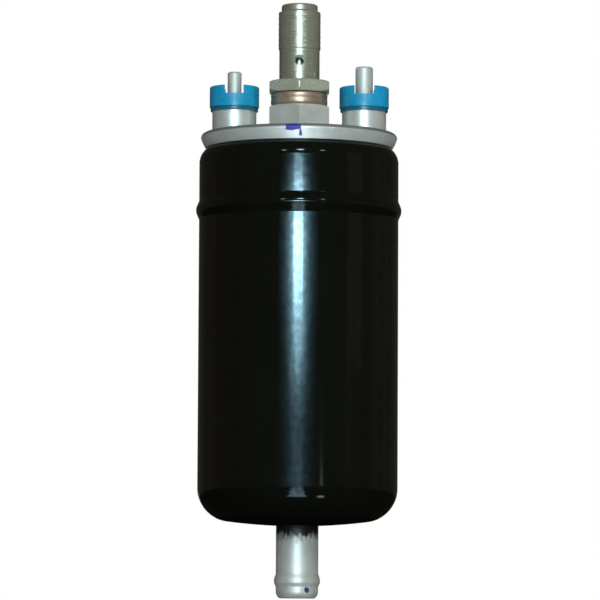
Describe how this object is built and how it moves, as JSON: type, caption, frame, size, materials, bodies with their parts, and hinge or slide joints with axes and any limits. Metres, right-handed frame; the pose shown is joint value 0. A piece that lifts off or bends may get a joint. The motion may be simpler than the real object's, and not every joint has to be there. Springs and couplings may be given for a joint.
{
  "type": "in-line fuel pump",
  "caption": "Cylindrical electric in-line fuel pump: black steel can, hose-barb inlet below, threaded check-valve outlet and two capped terminal studs above.",
  "frame": {"origin": "on the pump's axis, half way along the straight band of the can that a clamp holds", "axes": "+Z along the pump's axis towards the outlet; the terminal studs lie along X, plus on the +X side"},
  "size_m": [0.0586, 0.0586, 0.1691],
  "materials": {
    "black_enamel": "gloss stoving enamel on deep-drawn steel",
    "cast_aluminium": "die-cast, as cast",
    "passivated_steel": "turned, zinc plated, olive passivate",
    "zinc_plated_steel": "turned, bright zinc plated",
    "copper": "soft annealed copper",
    "turned_brass": "turned",
    "sintered_bronze": "sintered, oil filled",
    "spring_steel": "drawn",
    "ground_steel": "hardened and ground",
    "lamination_steel": "pressed",
    "enamelled_copper": "enamelled winding wire",
    "ferrite": "sintered ferrite",
    "carbon": "pressed carbon",
    "phenolic": "moulded",
    "nylon": "moulded",
    "nitrile_rubber": "moulded",
    "blue_polyamide": "moulded"
  },
  "bodies": {
    "pump_housing": {"brush_holder": "phenolic", "brush_lead_negative": "copper", "brush_lead_positive": "copper", "brush_spring_negative": "spring_steel", "brush_spring_positive": "spring_steel", "cam_ring": "ground_steel", "can_shell": "black_enamel", "check_spring": "spring_steel", "check_valve_seat": "turned_brass", "copper_ring": "copper", "cover_seal": "nitrile_rubber", "end_cover": "cast_aluminium", "field_magnet_back": "ferrite", "field_magnet_front": "ferrite", "flux_tube": "lamination_steel", "inlet_pipe": "zinc_plated_steel", "inlet_strainer": "nylon", "lower_bearing": "sintered_bronze", "magnet_clips": "spring_steel", "outlet_fitting": "passivated_steel", "outlet_plate": "ground_steel", "pack_screws": "zinc_plated_steel", "relief_plug": "turned_brass", "relief_spring": "spring_steel", "suction_plate": "ground_steel", "terminal_bush_negative": "phenolic", "terminal_bush_positive": "phenolic", "terminal_cap_negative": "blue_polyamide", "terminal_cap_positive": "blue_polyamide", "terminal_nut_negative": "zinc_plated_steel", "terminal_nut_positive": "zinc_plated_steel", "terminal_stud_negative": "zinc_plated_steel", "terminal_stud_positive": "zinc_plated_steel", "thrust_button": "ground_steel", "upper_bearing": "sintered_bronze"},
    "armature": {"armature_shaft": "ground_steel", "armature_core": "lamination_steel", "armature_windings": "enamelled_copper", "commutator_hub": "phenolic", "commutator_segments": "copper", "thrust_washers": "nylon", "pump_rotor": "ground_steel", "drive_pin": "ground_steel"},
    "roller_1": {"pump_roller_1": "ground_steel"},
    "roller_2": {"pump_roller_2": "ground_steel"},
    "roller_3": {"pump_roller_3": "ground_steel"},
    "roller_4": {"pump_roller_4": "ground_steel"},
    "roller_5": {"pump_roller_5": "ground_steel"},
    "check_valve": {"check_poppet": "turned_brass", "poppet_seal": "nitrile_rubber"},
    "relief_valve": {"relief_ball": "ground_steel"},
    "plus_brush": {"brush_positive": "carbon"},
    "minus_brush": {"brush_negative": "carbon"}
  },
  "joints": [
    {"name": "armature_spin", "type": "hinge", "parent": "pump_housing", "child": "armature", "pos_m": [0, 0, 0], "axis": [0, 0, 1], "continuous": true},
    {"name": "roller_1_spin", "type": "hinge", "parent": "armature", "child": "roller_1", "pos_m": [0.013, 0, -0.0279], "axis": [0, 0, 1], "continuous": true},
    {"name": "roller_2_spin", "type": "hinge", "parent": "armature", "child": "roller_2", "pos_m": [0.00402, 0.01236, -0.0279], "axis": [0, 0, 1], "continuous": true},
    {"name": "roller_3_spin", "type": "hinge", "parent": "armature", "child": "roller_3", "pos_m": [-0.01052, 0.00764, -0.0279], "axis": [0, 0, 1], "continuous": true},
    {"name": "roller_4_spin", "type": "hinge", "parent": "armature", "child": "roller_4", "pos_m": [-0.01052, -0.00764, -0.0279], "axis": [0, 0, 1], "continuous": true},
    {"name": "roller_5_spin", "type": "hinge", "parent": "armature", "child": "roller_5", "pos_m": [0.00402, -0.01236, -0.0279], "axis": [0, 0, 1], "continuous": true},
    {"name": "check_valve_lift", "type": "slide", "parent": "pump_housing", "child": "check_valve", "axis": [0, 0, 1], "range_m": [0, 0.002], "stiffness_N_per_m": 300, "springref_m": -0.002, "deforming": ["check_spring"]},
    {"name": "relief_valve_lift", "type": "slide", "parent": "pump_housing", "child": "relief_valve", "axis": [0, 0, -1], "range_m": [0, 0.0015], "stiffness_N_per_m": 1500, "springref_m": -0.002, "deforming": ["relief_spring"]},
    {"name": "plus_brush_slide", "type": "slide", "parent": "pump_housing", "child": "plus_brush", "axis": [1, 0, 0], "range_m": [0, 0.0025], "stiffness_N_per_m": 250, "springref_m": -0.004, "deforming": ["brush_spring_positive"]},
    {"name": "minus_brush_slide", "type": "slide", "parent": "pump_housing", "child": "minus_brush", "axis": [-1, 0, 0], "range_m": [0, 0.0025], "stiffness_N_per_m": 250, "springref_m": -0.004, "deforming": ["brush_spring_negative"]}
  ],
  "couplings": [
    {"joint": "roller_1_spin", "follows": "armature_spin", "ratio": -5.8333},
    {"joint": "roller_2_spin", "follows": "armature_spin", "ratio": -5.8333},
    {"joint": "roller_3_spin", "follows": "armature_spin", "ratio": -5.8333},
    {"joint": "roller_4_spin", "follows": "armature_spin", "ratio": -5.8333},
    {"joint": "roller_5_spin", "follows": "armature_spin", "ratio": -5.8333}
  ]
}
